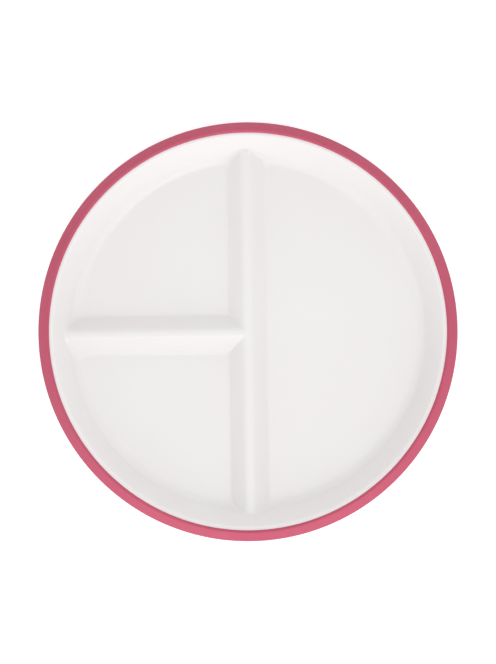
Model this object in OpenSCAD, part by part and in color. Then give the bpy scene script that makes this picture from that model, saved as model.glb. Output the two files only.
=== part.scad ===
// Divided compartment plate: a moulded plate with T-shaped dividers, a rim ring and a foot ring.
// Millimetres. Z is up from the table, Y points to the back, and the cross divider lies on the -X side.

/* [Plate] */
// Outside diameter, measured over the rim ring
plate_d = 216; // [190:1:240]
// Depth from the lip down to the floor
depth = 18; // [15:0.5:24]
// Slope of the wall in degrees, where 90 is upright
wall_slope = 63; // [55:1:72]
// Thickness of the moulding in its floor, wall and dividers
skin_t = 2; // [1.6:0.1:2.4]
// Radius of the fillet between floor and wall
floor_fillet_r = 5.5; // [3:0.5:7]
// Height of the floor's underside above the table
stand_h = 4; // [3.5:0.1:6]

/* [Lip] */
// Width of the lip between the wall and the rim ring
lip_w = 1.8; // [1.4:0.1:3]
// Width of the flange that the rim ring sits on
seat_w = 1.2; // [1:0.1:1.6]
// Thickness of the lip and its flange
flange_t = 2.4; // [1.8:0.1:3]
// Radius of the rolled edge between lip and wall
lip_edge_r = 1.9; // [0.5:0.1:2.2]

/* [Dividers] */
// Height of the dividers above the floor
divider_h = 7.6; // [6:0.2:10]
// Level run of a divider's sides, from crest to floor
divider_run = 7.8; // [6:0.2:10]
// Width of a divider's crest, before its edges are rounded
crest_w = 4.2; // [3.4:0.2:6]
// Radius of the crest's edges, as far as the crest has room for it
crest_r = 4; // [1:0.2:5]
// Radius of the fillet between a divider and the floor
divider_fillet_r = 2.5; // [1.5:0.5:4]
// Distance of the cross divider in front of the plate's middle
cross_shift = 0.8; // [0:0.1:3]
// Width of the solid end that closes a divider's hollow at the wall
hollow_end_w = 5; // [4:0.5:8]

/* [Rim ring] */
// Width of the ring seen from above
ring_w = 5.9; // [5:0.1:7]
// Height of the ring's crest above the lip
ring_rise = 2; // [1.6:0.1:2.8]
// Width of the bevel on the ring's inner side
ring_bevel_w = 1; // [0.8:0.1:1.2]
// Slope of the ring's outer face in degrees
ring_slope = 50; // [42:1:54]
// Height of the ring's upright side, below its outer face
ring_side_h = 2; // [1.8:0.1:3.5]
// Radius between the ring's outer face and its upright side
ring_shoulder_r = 2; // [0.5:0.1:2.5]
// Radius of the ring's crest
ring_crest_r = 0.6; // [0.3:0.1:0.8]
// Radius of the ring's lower edges
ring_edge_r = 0.7; // [0.3:0.1:0.9]
// Gap round the flange, inside the ring's skirt
ring_gap = 0.3; // [0.2:0.05:0.5]

/* [Foot] */
// Distance from the floor's edge in to the middle of the foot rib
foot_inset = 14; // [10:0.5:40]
// Thickness of the foot rib
rib_t = 2; // [1.5:0.1:3]
// Thickness of the foot ring under the rib
sole_t = 1.2; // [0.8:0.1:2]
// Thickness of the foot ring beside the rib
cheek_t = 1.5; // [1:0.1:2.5]
// Depth of the slot that the rib is pressed into
slot_h = 1.7; // [1.2:0.1:2]
// Gap on each side of the rib in the slot
slot_gap = 0.1; // [0.05:0.05:0.3]
// Radius of the foot ring's edges
sole_edge_r = 0.6; // [0.2:0.1:0.8]

/* [Hidden] */
$fn = 96;

// Steps in each rounded corner of an outline
arc_steps = 8;
// Overrun of a cut past the face that it opens
overrun = 1;
// Level strip on each side of a divider, where it lies on the floor
weld_w = 1;
// Radius of the flange's edges and of the corner under the flange
flange_edge_r = 0.4;
under_lip_r = 1.4;
// Radius at the root and at the edges of the foot rib
rib_root_r = 0.5;
rib_edge_r = 0.3;
// Radius at the tip of the hollow inside a divider
hollow_tip_r = 0.5;
// How much of a crest the rounding of its edges may take up, as a share of its width
crest_round_share = 0.95;
// How deep a divider is set into the floor and the wall, as a share of their thickness
set_in_share = 0.35;

plate_colour = [0.93, 0.925, 0.915];
ring_colour = [0.78, 0.37, 0.47];
foot_colour = [0.72, 0.33, 0.43];

under_z = stand_h;
floor_z = under_z + skin_t;
lip_z = floor_z + depth;
divider_z = floor_z + divider_h;

outer_r = plate_d / 2;
ring_r = outer_r - ring_w;
mouth_r = ring_r - lip_w;
flange_r = ring_r + seat_w;
rib_z = sole_t;

// Radius of the wall's inner face at height z, and of a face parallel to it, t further out
function wall_r(z, t = 0) = mouth_r - (lip_z - z) / tan(wall_slope) + t / sin(wall_slope);

foot_r = wall_r(floor_z) - foot_inset;

function unit(v) = v / norm(v);
function flat(p) = [p[0], p[1]];
function turn(a) = a > 180 ? a - 360 : a < -180 ? a + 360 : a;

// One corner [x, y, radius] of an outline: the point itself, or an arc that touches both sides
function corner(before, p, after) =
    p[2] == 0 ? [flat(p)] :
    let (
        a = unit(flat(before) - flat(p)),
        b = unit(flat(after) - flat(p)),
        half = acos(a * b) / 2,
        centre = flat(p) + unit(a + b) * p[2] / sin(half),
        from = flat(p) + a * p[2] / tan(half) - centre,
        to = flat(p) + b * p[2] / tan(half) - centre,
        start = atan2(from[1], from[0]),
        sweep = turn(atan2(to[1], to[0]) - start)
    )
    [for (i = [0 : arc_steps]) let (q = start + sweep * i / arc_steps)
        centre + p[2] * [cos(q), sin(q)]];

// A closed outline with its corners rounded
function rounded(points) =
    let (n = len(points))
    [for (i = [0 : n - 1]) each corner(points[(i + n - 1) % n], points[i], points[(i + 1) % n])];

// Section of a divider, or of a layer t below its surface, closed at height base_z
function divider_outline(t, base_z) =
    let (
        bend = tan(atan2(divider_h, divider_run) / 2),
        top_z = divider_z - t,
        foot_z = floor_z - t,
        crest = crest_w / 2 - t * bend,
        base = crest + divider_run,
        fillet_r = divider_fillet_r + t,
        tip_r = min(max(crest_r - t, hollow_tip_r), crest_round_share * crest / bend),
        end = base + fillet_r * bend + weld_w
    )
    rounded([
        [-end, base_z, 0],
        [-end, foot_z, 0],
        [-base, foot_z, fillet_r],
        [-crest, top_z, tip_r],
        [crest, top_z, tip_r],
        [base, foot_z, fillet_r],
        [end, foot_z, 0],
        [end, base_z, 0]
    ]);

// Both dividers as bars, t below their surface: one across the plate, one from the left to the middle
module divider_bars(t, base_z) {
    rotate([90, 0, 0])
        linear_extrude(height = plate_d, center = true)
            polygon(divider_outline(t, base_z));
    translate([0, -cross_shift, 0])
        rotate([90, 0, -90])
            linear_extrude(height = outer_r)
                polygon(divider_outline(t, base_z));
}

module bowl() {
    rim_under_z = lip_z - flange_t;
    rotate_extrude()
        polygon(rounded([
            [0, floor_z, 0],
            [wall_r(floor_z), floor_z, floor_fillet_r],
            [mouth_r, lip_z, lip_edge_r],
            [flange_r, lip_z, flange_edge_r],
            [flange_r, rim_under_z, flange_edge_r],
            [wall_r(rim_under_z, skin_t), rim_under_z, under_lip_r],
            [wall_r(under_z, skin_t), under_z, floor_fillet_r + skin_t],
            [foot_r + rib_t / 2, under_z, rib_root_r],
            [foot_r + rib_t / 2, rib_z, rib_edge_r],
            [foot_r - rib_t / 2, rib_z, rib_edge_r],
            [foot_r - rib_t / 2, under_z, rib_root_r],
            [0, under_z, 0]
        ]));
}

// The dividers, each end of them set into the wall
module dividers() {
    set_in = skin_t * set_in_share;
    base_z = floor_z - set_in;
    intersection() {
        union() divider_bars(0, base_z);
        translate([0, 0, base_z])
            cylinder(h = divider_z - base_z, r1 = wall_r(base_z, set_in), r2 = wall_r(divider_z, set_in));
    }
}

// Space inside the dividers, open to the table and crossed by the foot rib
module hollows() {
    low_z = under_z - overrun;
    high_z = divider_z;
    difference() {
        intersection() {
            union() divider_bars(skin_t, low_z);
            translate([0, 0, low_z])
                cylinder(h = high_z - low_z, r = wall_r(under_z, skin_t) - hollow_end_w);
        }
        translate([0, 0, low_z])
            difference() {
                cylinder(h = high_z - low_z, r = foot_r + rib_t / 2);
                cylinder(h = high_z - low_z, r = foot_r - rib_t / 2);
            }
    }
}

module compartment_plate() {
    color(plate_colour)
        difference() {
            union() {
                bowl();
                dividers();
            }
            hollows();
        }
}

module rim_ring() {
    crest_at = ring_r + ring_bevel_w;
    shoulder_z = lip_z + ring_rise - (outer_r - crest_at) * tan(ring_slope);
    skirt_z = shoulder_z - ring_side_h;
    color(ring_colour)
        rotate_extrude()
            polygon(rounded([
                [ring_r, lip_z, 0],
                [crest_at, lip_z + ring_rise, ring_crest_r],
                [outer_r, shoulder_z, ring_shoulder_r],
                [outer_r, skirt_z, ring_edge_r],
                [flange_r + ring_gap, skirt_z, ring_edge_r],
                [flange_r + ring_gap, lip_z, 0]
            ]));
}

module foot_ring() {
    slot_half = rib_t / 2 + slot_gap;
    half = slot_half + cheek_t;
    top_z = rib_z + slot_h;
    color(foot_colour)
        rotate_extrude()
            polygon(rounded([
                [foot_r - half, 0, sole_edge_r],
                [foot_r + half, 0, sole_edge_r],
                [foot_r + half, top_z, sole_edge_r],
                [foot_r + slot_half, top_z, 0],
                [foot_r + slot_half, rib_z, 0],
                [foot_r - slot_half, rib_z, 0],
                [foot_r - slot_half, top_z, 0],
                [foot_r - half, top_z, sole_edge_r]
            ]));
}

compartment_plate();
rim_ring();
foot_ring();
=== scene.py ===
"""Divided compartment plate: the looks of its moulding, rim ring and foot ring, in metres.

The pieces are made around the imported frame, and each stands for one of its nodes."""

import math

import bmesh
import bpy
import numpy as np
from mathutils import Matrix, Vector


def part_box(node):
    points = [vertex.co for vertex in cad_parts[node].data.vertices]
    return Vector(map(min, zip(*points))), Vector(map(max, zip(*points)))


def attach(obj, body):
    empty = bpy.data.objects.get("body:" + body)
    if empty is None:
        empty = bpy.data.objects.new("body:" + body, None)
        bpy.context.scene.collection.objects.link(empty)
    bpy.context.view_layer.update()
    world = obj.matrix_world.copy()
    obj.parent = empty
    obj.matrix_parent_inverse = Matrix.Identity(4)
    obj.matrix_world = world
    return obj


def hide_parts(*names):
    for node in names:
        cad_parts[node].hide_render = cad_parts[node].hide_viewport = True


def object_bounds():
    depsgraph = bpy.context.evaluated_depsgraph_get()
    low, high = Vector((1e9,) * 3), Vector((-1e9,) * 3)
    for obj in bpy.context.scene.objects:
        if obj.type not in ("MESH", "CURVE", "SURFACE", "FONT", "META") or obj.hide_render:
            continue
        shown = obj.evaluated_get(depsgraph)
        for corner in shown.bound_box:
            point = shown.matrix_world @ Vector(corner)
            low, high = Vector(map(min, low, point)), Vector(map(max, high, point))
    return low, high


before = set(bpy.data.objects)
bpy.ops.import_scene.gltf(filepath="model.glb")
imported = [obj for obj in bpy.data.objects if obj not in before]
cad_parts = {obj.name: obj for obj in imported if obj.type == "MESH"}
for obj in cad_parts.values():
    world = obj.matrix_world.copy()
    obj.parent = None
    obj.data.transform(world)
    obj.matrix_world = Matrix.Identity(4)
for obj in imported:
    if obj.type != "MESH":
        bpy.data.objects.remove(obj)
cad_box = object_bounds()

# Bowl
OUTER_R = (cad_box[1].x - cad_box[0].x) / 2
RIB_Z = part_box("compartment_plate")[0].z
UNDER_Z = 0.004
DEPTH = 0.018
SKIN_T = 0.002
WALL_SLOPE = math.radians(63)
FLOOR_FILLET_R = 0.0055
FLOOR_Z = UNDER_Z + SKIN_T
LIP_Z = FLOOR_Z + DEPTH

# Lip and flange
RING_W = 0.0059
LIP_W = 0.0018
SEAT_W = 0.0012
FLANGE_T = 0.0024
LIP_EDGE_R = 0.0019
FLANGE_EDGE_R = 0.0004
UNDER_LIP_R = 0.0014
RING_R = OUTER_R - RING_W
MOUTH_R = RING_R - LIP_W
FLANGE_R = RING_R + SEAT_W

# Dividers
DIVIDER_H = 0.0076
DIVIDER_RUN = 0.0078
CREST_W = 0.0042
CREST_R = 0.004
DIVIDER_FILLET_R = 0.0025
CROSS_SHIFT = 0.0008
HOLLOW_TIP_R = 0.0005
HOLLOW_END_W = 0.005
CREST_Z = FLOOR_Z + DIVIDER_H
ROOF_Z = CREST_Z - SKIN_T

# Corners of the compartments, seen from above. Those at the wall are rounder at the floor than at the
# crest, and the mitres are where the dividers meet
FLOOR_CORNER_R = 0.0035
CREST_CORNER_R = 0.0016
MITRE_R = 0.0006
FLOOR_STRIP_W = 0.0005

# Rim ring
RING_RISE = 0.002
RING_BEVEL_W = 0.001
RING_SLOPE = math.radians(50)
RING_SIDE_H = 0.002
RING_SHOULDER_R = 0.002
RING_CREST_R = 0.0006
RING_EDGE_R = 0.0007
RING_GAP = 0.0003

# Foot rib and foot ring
FOOT_INSET = 0.014
RIB_T = 0.002
RIB_EDGE_R = 0.0003
CHEEK_T = 0.0015
SLOT_H = 0.0017
SLOT_GAP = 0.0001
SOLE_EDGE_R = 0.0006

# Steps of the meshes: in an arc of a section, round the plate, along a divider, and in a corner
ARC_STEPS = 10
HALF_STEPS = 120
QUARTER_STEPS = 58
END_STEPS = 6
LINE_STEPS = 40
CORNER_STEPS = 6
SLOPE_STEPS = 5
RING_STEPS = 288
MERGE_W = 1e-7
SHARP_ANGLE = math.radians(32)

# Colours as linear values
PLATE_WHITE = (0.86, 0.842, 0.838, 1)
PLATE_WHITE_DEEP = (0.845, 0.824, 0.818, 1)
RING_PINK = (0.55, 0.105, 0.17, 1)
RING_PINK_DEEP = (0.52, 0.095, 0.156, 1)
FOOT_PINK = (0.48, 0.085, 0.15, 1)
FOOT_PINK_DEEP = (0.44, 0.075, 0.135, 1)
WHITE = (1, 1, 1, 1)

# Finish of each plastic: its specular level, its range of roughness, the number of its patches in a
# metre, and the (number in a metre, depth) of the mould's long waves and of the fine grain
PLATE_FINISH = {
    "specular": 0.5,
    "roughness": (0.3, 0.42),
    "patch_scale": 14,
    "waves": (40, 0.00004),
    "grain": (2400, 0.000004),
}
RING_FINISH = {
    "specular": 0.12,
    "roughness": (0.42, 0.55),
    "patch_scale": 30,
    "waves": (60, 0.00003),
    "grain": (3200, 0.00001),
}
FOOT_FINISH = {
    "specular": 0.2,
    "roughness": (0.6, 0.75),
    "patch_scale": 40,
    "waves": (80, 0.00002),
    "grain": (2600, 0.00002),
}

# Noise: how detailed each kind is, how much finer the gloss is than the patches, and the range in use
PATCH_DETAIL = 3
GLOSS_DETAIL = 4
WAVE_DETAIL = 1
GRAIN_DETAIL = 2
GLOSS_FINENESS = 6
NOISE_LOW = 0.3
NOISE_HIGH = 0.7

# Picture: its size and the plate's width in pixels, and where the camera stands and looks
FRAME_PX = (496, 664)
PLATE_PX = 421
CAMERA_DISTANCE = 1.2
CAMERA_AZIMUTH = math.radians(-90.8)
CAMERA_ELEVATION = math.radians(88)
AIM_Y = -0.0006
SENSOR_W = 36

# Light
FRONT_LIGHT = 1.47
BACK_LIGHT = 1.22
SIDE_LIGHT = 0.54
KEY_LEVEL = 0.28
KEY_SIZE = 1.2
KEY_DISTANCE = 1.6
KEY_AZIMUTH = math.radians(-70)
KEY_ELEVATION = math.radians(65)
STRIP_LEVEL = 0.13
STRIP_W = 2
STRIP_H = 0.044
STRIP_DISTANCE = 2
FLOOR_SIZE = 12
FLOOR_COLOUR = (0.85, 0.85, 0.85, 1)
FLOOR_GLOW = 0.5


def wall_r(z, t=0):
    """Radius of the wall's inner face at height z, and of a face parallel to it, t further out."""
    return MOUTH_R - (LIP_Z - z) / math.tan(WALL_SLOPE) + t / math.sin(WALL_SLOPE)


FOOT_R = wall_r(FLOOR_Z) - FOOT_INSET
RIB_OUT_R = FOOT_R + RIB_T / 2
RIB_IN_R = FOOT_R - RIB_T / 2
HOLLOW_END_R = wall_r(UNDER_Z, SKIN_T) - HOLLOW_END_W


def rounded_corner(before, corner, after):
    """Points of an arc that touches both sides of a corner (x, z, radius)."""
    p = Vector(corner[:2])
    a = (Vector(before[:2]) - p).normalized()
    b = (Vector(after[:2]) - p).normalized()
    half = a.angle(b) / 2
    middle = p + (a + b).normalized() * corner[2] / math.sin(half)
    start = p + a * corner[2] / math.tan(half) - middle
    sweep = math.copysign(math.pi - 2 * half, -a.cross(b))
    angles = math.atan2(start.y, start.x) + sweep * np.linspace(0, 1, ARC_STEPS + 1)
    return [(middle.x + corner[2] * math.cos(q), middle.y + corner[2] * math.sin(q)) for q in angles]


def section(corners, closed=False):
    """Points of an outline of (x, z, radius) corners, with its corners rounded."""
    points = []
    count = len(corners)
    for i, corner in enumerate(corners):
        at_end = not closed and i in (0, count - 1)
        if corner[2] == 0 or at_end:
            points.append(corner[:2])
        else:
            points += rounded_corner(corners[i - 1], corner, corners[(i + 1) % count])
    return points


def divider_side(t):
    """Half section of a divider, or of a layer t below its surface, from the floor up to its crest."""
    turn = math.atan2(DIVIDER_H, DIVIDER_RUN)
    crest_half = CREST_W / 2 - t * math.tan(turn / 2)
    base_half = crest_half + DIVIDER_RUN
    low_z, high_z = FLOOR_Z - t, CREST_Z - t
    corners = [
        (OUTER_R, low_z, 0),
        (base_half, low_z, DIVIDER_FILLET_R + t),
        (crest_half, high_z, max(CREST_R - t, HOLLOW_TIP_R)),
        (0, high_z, 0),
    ]
    return np.array(section(corners)[1:-1])


def wall_side():
    """Section of the wall's inner face, from the floor up to the lip."""
    corners = [
        (0, FLOOR_Z, 0),
        (wall_r(FLOOR_Z), FLOOR_Z, FLOOR_FILLET_R),
        (MOUTH_R, LIP_Z, 0),
    ]
    return np.array(section(corners)[1:])


def across(side, z):
    """Where a side is at height z, measured across it."""
    return float(np.interp(z, side[:, 1], side[:, 0]))


def divider_widths(side, z):
    """Widths at height z, from the plate's middle to the dividers' sides.

    The first is that to either side of the main divider, and the others are those to the back and
    front of the cross divider."""
    half = across(side, z)
    return half, half - CROSS_SHIFT, half + CROSS_SHIFT


def levels(low_side, high_side):
    """Heights from floor to crest: of the fillet below, of the slope and of the edge above."""
    low = low_side[: ARC_STEPS + 1, 1]
    high = high_side[-ARC_STEPS - 1 :, 1]
    between = np.linspace(low[-1], high[0], SLOPE_STEPS + 1)[1:-1]
    return np.concatenate([low, between, high])


def line(start, end, steps):
    """Points from start up to, but not with, end."""
    start, end = np.array(start), np.array(end)
    return [start + (end - start) * i / steps for i in range(steps)]


def arc(middle, radius, first, last, steps):
    """Points on an arc between two angles, without its last point."""
    angles = first + (last - first) * np.arange(steps) / steps
    middle = np.array(middle)
    return [middle + radius * np.array((math.cos(q), math.sin(q))) for q in angles]


def leg(radius, width):
    """Length of the other leg in a right triangle whose longest side is a radius."""
    return math.sqrt(radius**2 - width**2)


def half_outline(main, wall, corner_r):
    """Outline of the half compartment at one height: divider side at x = main, wall at radius wall."""
    side = main + corner_r
    end = leg(wall - corner_r, side)
    turn = math.atan2(end, side)
    return (
        line((main, -end), (main, end), 2 * LINE_STEPS)
        + arc((side, end), corner_r, math.pi, turn, CORNER_STEPS)
        + arc((0, 0), wall, turn, -turn, HALF_STEPS)
        + arc((side, -end), corner_r, -turn, -math.pi, CORNER_STEPS)
    )


def quarter_outline(main, cross, wall, corner_r, back):
    """Outline of a smaller compartment at one height, behind or in front of the cross divider."""
    side, row = main + corner_r, cross + corner_r
    end, reach = leg(wall - corner_r, side), leg(wall - corner_r, row)
    steep, shallow = math.atan2(end, side), math.atan2(row, reach)
    inner = (main + MITRE_R, cross + MITRE_R)
    points = (
        line((main, inner[1]), (main, end), LINE_STEPS)
        + arc((side, end), corner_r, math.pi, steep, CORNER_STEPS)
        + arc((0, 0), wall, steep, shallow, QUARTER_STEPS)
        + arc((reach, row), corner_r, shallow, -math.pi / 2, CORNER_STEPS)
        + line((reach, cross), (inner[0], cross), LINE_STEPS)
        + arc(inner, MITRE_R, -math.pi / 2, -math.pi, CORNER_STEPS)
    )
    return [np.array((-p[0], p[1] if back else -p[1])) for p in points]


def circle_angles(radius, main, back, front):
    """Angles round a circle, divided where the edges of the dividers cross it."""
    m, b, f = (math.asin(w / radius) for w in (main, back, front))
    right, straight = math.pi / 2, math.pi
    stops = [m - right, right - m, right + m, straight - b, straight + f, 3 * right - m, 3 * right + m]
    steps = [HALF_STEPS, END_STEPS, QUARTER_STEPS, END_STEPS, QUARTER_STEPS, END_STEPS]
    parts = [np.linspace(stops[i], stops[i + 1], steps[i], endpoint=False) for i in range(len(steps))]
    return np.concatenate(parts)


def hollow_outline(main, back, front):
    """Outline at one height of the hollow inside the foot rib: a T with its three ends on the rib."""
    long_end, back_end, front_end = (leg(RIB_IN_R, w) for w in (main, back, front))
    m, b, f = (math.asin(w / RIB_IN_R) for w in (main, back, front))
    right, straight = math.pi / 2, math.pi
    return (
        line((main, -long_end), (main, long_end), 2 * LINE_STEPS)
        + arc((0, 0), RIB_IN_R, right - m, right + m, END_STEPS)
        + line((-main, long_end), (-main, back), LINE_STEPS)
        + line((-main, back), (-back_end, back), LINE_STEPS)
        + arc((0, 0), RIB_IN_R, straight - b, straight + f, END_STEPS)
        + line((-front_end, -front), (-main, -front), LINE_STEPS)
        + line((-main, -front), (-main, -long_end), LINE_STEPS)
        + arc((0, 0), RIB_IN_R, 3 * right - m, 3 * right + m, END_STEPS)
    )


def pocket_outline(heading, right_w, left_w):
    """Outline at one height of a hollow's end, outside the foot rib.

    The widths are those to the right and left of its heading, seen from above."""
    inner = [heading + math.asin(w / RIB_OUT_R) for w in (-right_w, left_w)]
    outer = [heading + math.asin(w / HOLLOW_END_R) for w in (-right_w, left_w)]

    def at(radius, angle):
        return radius * math.cos(angle), radius * math.sin(angle)

    return (
        arc((0, 0), RIB_OUT_R, inner[0], inner[1], END_STEPS)
        + line(at(RIB_OUT_R, inner[1]), at(HOLLOW_END_R, outer[1]), END_STEPS)
        + arc((0, 0), HOLLOW_END_R, outer[1], outer[0], END_STEPS)
        + line(at(HOLLOW_END_R, outer[0]), at(RIB_OUT_R, inner[0]), END_STEPS)
    )


def loft(bm, rings, closed=False):
    """Quads between closed rings of points. A closed loft joins the last ring to the first."""
    rows = [[bm.verts.new(p) for p in ring] for ring in rings]
    pairs = list(zip(rows, rows[1:] + rows[:1])) if closed else list(zip(rows, rows[1:]))
    for low, high in pairs:
        count = len(low)
        for i in range(count):
            j = (i + 1) % count
            bm.faces.new((low[i], low[j], high[j], high[i]))


def at_height(outline, z):
    return [(p[0], p[1], z) for p in outline]


def turned(points, angles):
    """Rings of a turned section: one ring for each of its (radius, height) points."""
    return [[(r * math.cos(q), r * math.sin(q), z) for q in angles] for r, z in points]


def fill_level(bm, z):
    """Flat faces inside the open edges at one height."""
    edges = [e for e in bm.edges if e.is_boundary and all(abs(v.co.z - z) < MERGE_W for v in e.verts)]
    bmesh.ops.triangle_fill(bm, use_beauty=True, use_dissolve=False, edges=edges)


def finish_mesh(bm, name, body, node, material):
    """Turns a mesh into the piece that stands for a node."""
    bmesh.ops.recalc_face_normals(bm, faces=bm.faces)
    mesh = bpy.data.meshes.new(name)
    bm.to_mesh(mesh)
    bm.free()
    mesh.shade_smooth()
    mesh.set_sharp_from_angle(angle=SHARP_ANGLE)
    mesh.materials.append(material)
    piece = bpy.data.objects.new(name, mesh)
    bpy.context.scene.collection.objects.link(piece)
    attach(piece, body)
    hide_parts(node)


def add_compartments(bm, divider, wall):
    """The three compartments, each lofted through its outlines from the floor up to the crest."""
    heights = levels(wall, divider)
    halves, backs, fronts = [], [], []
    for i, z in enumerate([FLOOR_Z, *heights]):
        strip = FLOOR_STRIP_W if i == 0 else 0
        share = (z - FLOOR_Z) / DIVIDER_H
        corner_r = FLOOR_CORNER_R + (CREST_CORNER_R - FLOOR_CORNER_R) * share
        m, b, f = (width + strip for width in divider_widths(divider, z))
        w = across(wall, z) - strip
        halves.append(at_height(half_outline(m, w, corner_r), z))
        backs.append(at_height(quarter_outline(m, b, w, corner_r, True), z))
        fronts.append(at_height(quarter_outline(m, f, w, corner_r, False), z))
    for rings in (halves, backs, fronts):
        loft(bm, rings)


def add_bowl(bm, divider):
    """The wall above the dividers, the lip, the flange and the outside down to the underside."""
    inner_r = wall_r(CREST_Z)
    flange_under_z = LIP_Z - FLANGE_T
    corners = [
        (inner_r, CREST_Z, 0),
        (MOUTH_R, LIP_Z, LIP_EDGE_R),
        (FLANGE_R, LIP_Z, FLANGE_EDGE_R),
        (FLANGE_R, flange_under_z, FLANGE_EDGE_R),
        (wall_r(flange_under_z, SKIN_T), flange_under_z, UNDER_LIP_R),
        (wall_r(UNDER_Z, SKIN_T), UNDER_Z, FLOOR_FILLET_R + SKIN_T),
        (FOOT_R, UNDER_Z, 0),
    ]
    corner_share = inner_r / (inner_r - CREST_CORNER_R)
    widths = [(width + CREST_CORNER_R) * corner_share for width in divider_widths(divider, CREST_Z)]
    loft(bm, turned(section(corners)[:-1], circle_angles(inner_r, *widths)))


def add_underside(bm, hollow):
    """The hollows of the dividers and the foot rib that crosses them."""
    heights = levels(hollow, hollow)
    widths = [divider_widths(hollow, z) for z in heights]
    loft(bm, [at_height(hollow_outline(*w), z) for w, z in zip(widths, heights)])
    main, back, front = zip(*widths)
    right_angle = math.pi / 2
    for quarters, right_ws, left_ws in ((1, main, main), (2, back, front), (3, main, main)):
        rings = [pocket_outline(quarters * right_angle, *pair) for pair in zip(right_ws, left_ws)]
        loft(bm, [at_height(ring, z) for ring, z in zip(rings, heights)])
    corners = [
        (RIB_OUT_R, UNDER_Z, 0),
        (RIB_OUT_R, RIB_Z, RIB_EDGE_R),
        (RIB_IN_R, RIB_Z, RIB_EDGE_R),
        (RIB_IN_R, UNDER_Z, 0),
    ]
    outer = circle_angles(RIB_OUT_R, *widths[0])
    inner = circle_angles(RIB_IN_R, *widths[0])
    rings = []
    for r, z in section(corners):
        share = (RIB_OUT_R - r) / RIB_T
        rings += turned([(r, z)], outer + (inner - outer) * share)
    loft(bm, rings)


def make_plate(material):
    divider = divider_side(0)
    bm = bmesh.new()
    add_compartments(bm, divider, wall_side())
    add_bowl(bm, divider)
    add_underside(bm, divider_side(SKIN_T))
    bmesh.ops.remove_doubles(bm, verts=bm.verts, dist=MERGE_W)
    for z in (FLOOR_Z, CREST_Z, UNDER_Z, ROOF_Z):
        fill_level(bm, z)
    finish_mesh(bm, "plate_moulding", "plate", "compartment_plate", material)


def even_angles():
    return np.linspace(0, 2 * math.pi, RING_STEPS, endpoint=False)


def make_ring(material):
    crest_r = RING_R + RING_BEVEL_W
    shoulder_z = LIP_Z + RING_RISE - (OUTER_R - crest_r) * math.tan(RING_SLOPE)
    skirt_z = shoulder_z - RING_SIDE_H
    corners = [
        (RING_R, LIP_Z, 0),
        (crest_r, LIP_Z + RING_RISE, RING_CREST_R),
        (OUTER_R, shoulder_z, RING_SHOULDER_R),
        (OUTER_R, skirt_z, RING_EDGE_R),
        (FLANGE_R + RING_GAP, skirt_z, RING_EDGE_R),
        (FLANGE_R + RING_GAP, LIP_Z, 0),
    ]
    bm = bmesh.new()
    loft(bm, turned(section(corners, closed=True), even_angles()), closed=True)
    finish_mesh(bm, "rim_band", "ring", "rim_ring", material)


def make_foot(material):
    slot_half = RIB_T / 2 + SLOT_GAP
    half = slot_half + CHEEK_T
    top_z = RIB_Z + SLOT_H
    corners = [
        (FOOT_R - half, 0, SOLE_EDGE_R),
        (FOOT_R + half, 0, SOLE_EDGE_R),
        (FOOT_R + half, top_z, SOLE_EDGE_R),
        (FOOT_R + slot_half, top_z, 0),
        (FOOT_R + slot_half, RIB_Z, 0),
        (FOOT_R - slot_half, RIB_Z, 0),
        (FOOT_R - slot_half, top_z, 0),
        (FOOT_R - half, top_z, SOLE_EDGE_R),
    ]
    bm = bmesh.new()
    loft(bm, turned(section(corners, closed=True), even_angles()), closed=True)
    finish_mesh(bm, "foot_band", "plate", "foot_ring", material)


def noise(tree, coords, scale, detail):
    """A noise texture in the object's own metres."""
    node = tree.nodes.new("ShaderNodeTexNoise")
    node.inputs["Scale"].default_value = scale
    node.inputs["Detail"].default_value = detail
    tree.links.new(coords.outputs["Object"], node.inputs["Vector"])
    return node.outputs["Fac"]


def spread(tree, value, low, high):
    """Maps the middle of a noise to a range."""
    node = tree.nodes.new("ShaderNodeMapRange")
    node.inputs["From Min"].default_value = NOISE_LOW
    node.inputs["From Max"].default_value = NOISE_HIGH
    node.inputs["To Min"].default_value = low
    node.inputs["To Max"].default_value = high
    tree.links.new(value, node.inputs["Value"])
    return node.outputs["Result"]


def bump(tree, height, distance, below=None):
    """Normals of a surface that a noise lifts by a distance, on top of other normals."""
    node = tree.nodes.new("ShaderNodeBump")
    node.inputs["Distance"].default_value = distance
    node.inputs["Strength"].default_value = 1
    tree.links.new(height, node.inputs["Height"])
    if below is not None:
        tree.links.new(below, node.inputs["Normal"])
    return node.outputs["Normal"]


def plastic(name, colours, specular, roughness, patch_scale, waves, grain):
    """A moulded plastic: faint patches of tone and gloss, long waves of the mould and a fine grain."""
    material = bpy.data.materials.new(name)
    material.use_nodes = True
    tree = material.node_tree
    shader = tree.nodes["Principled BSDF"]
    shader.inputs["Specular IOR Level"].default_value = specular
    coords = tree.nodes.new("ShaderNodeTexCoord")
    patches = noise(tree, coords, patch_scale, PATCH_DETAIL)
    mix = tree.nodes.new("ShaderNodeMix")
    mix.data_type = "RGBA"
    tree.links.new(spread(tree, patches, 0, 1), mix.inputs["Factor"])
    mix.inputs["A"].default_value = colours[0]
    mix.inputs["B"].default_value = colours[1]
    tree.links.new(mix.outputs["Result"], shader.inputs["Base Color"])
    gloss = noise(tree, coords, patch_scale * GLOSS_FINENESS, GLOSS_DETAIL)
    tree.links.new(spread(tree, gloss, *roughness), shader.inputs["Roughness"])
    long_waves = bump(tree, noise(tree, coords, waves[0], WAVE_DETAIL), waves[1])
    fine_grain = bump(tree, noise(tree, coords, grain[0], GRAIN_DETAIL), grain[1], long_waves)
    tree.links.new(fine_grain, shader.inputs["Normal"])
    return material


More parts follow.
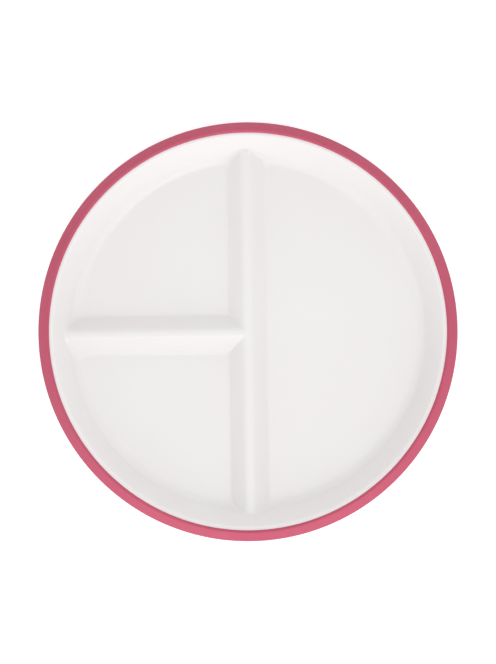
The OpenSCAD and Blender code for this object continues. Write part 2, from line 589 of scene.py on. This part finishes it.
def seen_directly(tree):
    """1 for the rays that see the background: from the camera, off gloss or through clear things."""
    path = tree.nodes.new("ShaderNodeLightPath")
    result = path.outputs["Is Camera Ray"]
    for name in ("Is Glossy Ray", "Is Transmission Ray"):
        node = tree.nodes.new("ShaderNodeMath")
        node.operation = "MAXIMUM"
        tree.links.new(result, node.inputs[0])
        tree.links.new(path.outputs[name], node.inputs[1])
        result = node.outputs[0]
    return result


def vector_maths(tree, operation, vector, constant=(0, 0, 0), output="Vector"):
    node = tree.nodes.new("ShaderNodeVectorMath")
    node.operation = operation
    node.inputs[1].default_value = constant
    tree.links.new(vector, node.inputs[0])
    return node.outputs[output]


def tent_light(tree):
    """Strength of the light by its direction: most in front and behind, less from the sides."""
    direction = tree.nodes.new("ShaderNodeTexCoord").outputs["Generated"]
    all_round = vector_maths(tree, "ABSOLUTE", direction)
    even = vector_maths(tree, "DOT_PRODUCT", all_round, (SIDE_LIGHT, BACK_LIGHT, 0), "Value")
    in_front = vector_maths(tree, "MINIMUM", direction)
    extra = vector_maths(tree, "DOT_PRODUCT", in_front, (0, BACK_LIGHT - FRONT_LIGHT, 0), "Value")
    total = tree.nodes.new("ShaderNodeMath")
    tree.links.new(even, total.inputs[0])
    tree.links.new(extra, total.inputs[1])
    return total.outputs[0]


def make_world():
    """Light from the walls of a tent, with a white background."""
    world = bpy.data.worlds.new("studio")
    bpy.context.scene.world = world
    world.use_nodes = True
    tree = world.node_tree
    light = tree.nodes["Background"]
    light.inputs["Color"].default_value = WHITE
    tree.links.new(tent_light(tree), light.inputs["Strength"])
    white = tree.nodes.new("ShaderNodeBackground")
    white.inputs["Color"].default_value = WHITE
    mix = tree.nodes.new("ShaderNodeMixShader")
    tree.links.new(seen_directly(tree), mix.inputs[0])
    tree.links.new(light.outputs[0], mix.inputs[1])
    tree.links.new(white.outputs[0], mix.inputs[2])
    tree.links.new(mix.outputs[0], tree.nodes["World Output"].inputs["Surface"])


def floor_material():
    """A pale surface that takes the shadow, lifted to white where it is seen."""
    material = bpy.data.materials.new("floor_white")
    material.use_nodes = True
    tree = material.node_tree
    tree.nodes.remove(tree.nodes["Principled BSDF"])
    diffuse = tree.nodes.new("ShaderNodeBsdfDiffuse")
    diffuse.inputs["Color"].default_value = FLOOR_COLOUR
    glow = tree.nodes.new("ShaderNodeEmission")
    level = tree.nodes.new("ShaderNodeMath")
    level.operation = "MULTIPLY"
    level.inputs[1].default_value = FLOOR_GLOW
    tree.links.new(seen_directly(tree), level.inputs[0])
    tree.links.new(level.outputs[0], glow.inputs["Strength"])
    add = tree.nodes.new("ShaderNodeAddShader")
    tree.links.new(diffuse.outputs[0], add.inputs[0])
    tree.links.new(glow.outputs[0], add.inputs[1])
    tree.links.new(add.outputs[0], tree.nodes["Material Output"].inputs["Surface"])
    return material


def make_floor():
    half = FLOOR_SIZE / 2
    corners = [(-half, -half, 0), (half, -half, 0), (half, half, 0), (-half, half, 0)]
    mesh = bpy.data.meshes.new("floor")
    mesh.from_pydata(corners, [], [range(len(corners))])
    mesh.materials.append(floor_material())
    floor = bpy.data.objects.new("floor", mesh)
    bpy.context.scene.collection.objects.link(floor)


def towards(azimuth, elevation):
    """Unit vector at an angle round the plate, counted from +X, and an angle above the table."""
    level = math.cos(elevation)
    return Vector((level * math.cos(azimuth), level * math.sin(azimuth), math.sin(elevation)))


def make_lamp(name, shape, width, height, level, place):
    """A soft lamp turned to the plate, where level is the light on a white face turned to the lamp."""
    data = bpy.data.lights.new(name, "AREA")
    data.shape = shape
    data.size = width
    data.size_y = height
    data.energy = level * (math.pi * place.length) ** 2
    lamp = bpy.data.objects.new(name, data)
    lamp.location = place
    lamp.rotation_euler = place.to_track_quat("Z", "Y").to_euler()
    bpy.context.scene.collection.objects.link(lamp)


def make_lamps():
    """A large lamp high in front, a little to the right, and a low strip for the ring's front face."""
    key_place = towards(KEY_AZIMUTH, KEY_ELEVATION) * KEY_DISTANCE
    make_lamp("key", "ELLIPSE", KEY_SIZE, KEY_SIZE, KEY_LEVEL, key_place)
    strip_place = Vector((0, -STRIP_DISTANCE, STRIP_H / 2))
    make_lamp("strip", "RECTANGLE", STRIP_W, STRIP_H, STRIP_LEVEL, strip_place)


def make_camera():
    """A long lens almost straight above the plate."""
    aim = Vector((0, AIM_Y, LIP_Z))
    seen_long = 2 * OUTER_R * FRAME_PX[1] / PLATE_PX
    data = bpy.data.cameras.new("camera")
    data.sensor_width = SENSOR_W
    data.lens = SENSOR_W * CAMERA_DISTANCE / seen_long
    camera = bpy.data.objects.new("camera", data)
    back = towards(CAMERA_AZIMUTH, CAMERA_ELEVATION)
    camera.location = aim + back * CAMERA_DISTANCE
    camera.rotation_euler = (math.pi / 2 - CAMERA_ELEVATION, 0, CAMERA_AZIMUTH + math.pi / 2)
    bpy.context.scene.collection.objects.link(camera)
    bpy.context.scene.camera = camera


make_plate(plastic("plate_white", (PLATE_WHITE, PLATE_WHITE_DEEP), **PLATE_FINISH))
make_ring(plastic("ring_pink", (RING_PINK, RING_PINK_DEEP), **RING_FINISH))
make_foot(plastic("foot_soft", (FOOT_PINK, FOOT_PINK_DEEP), **FOOT_FINISH))
make_floor()
make_world()
make_lamps()
make_camera()
bpy.context.scene.view_settings.view_transform = "Standard"

bpy.context.view_layer.update()
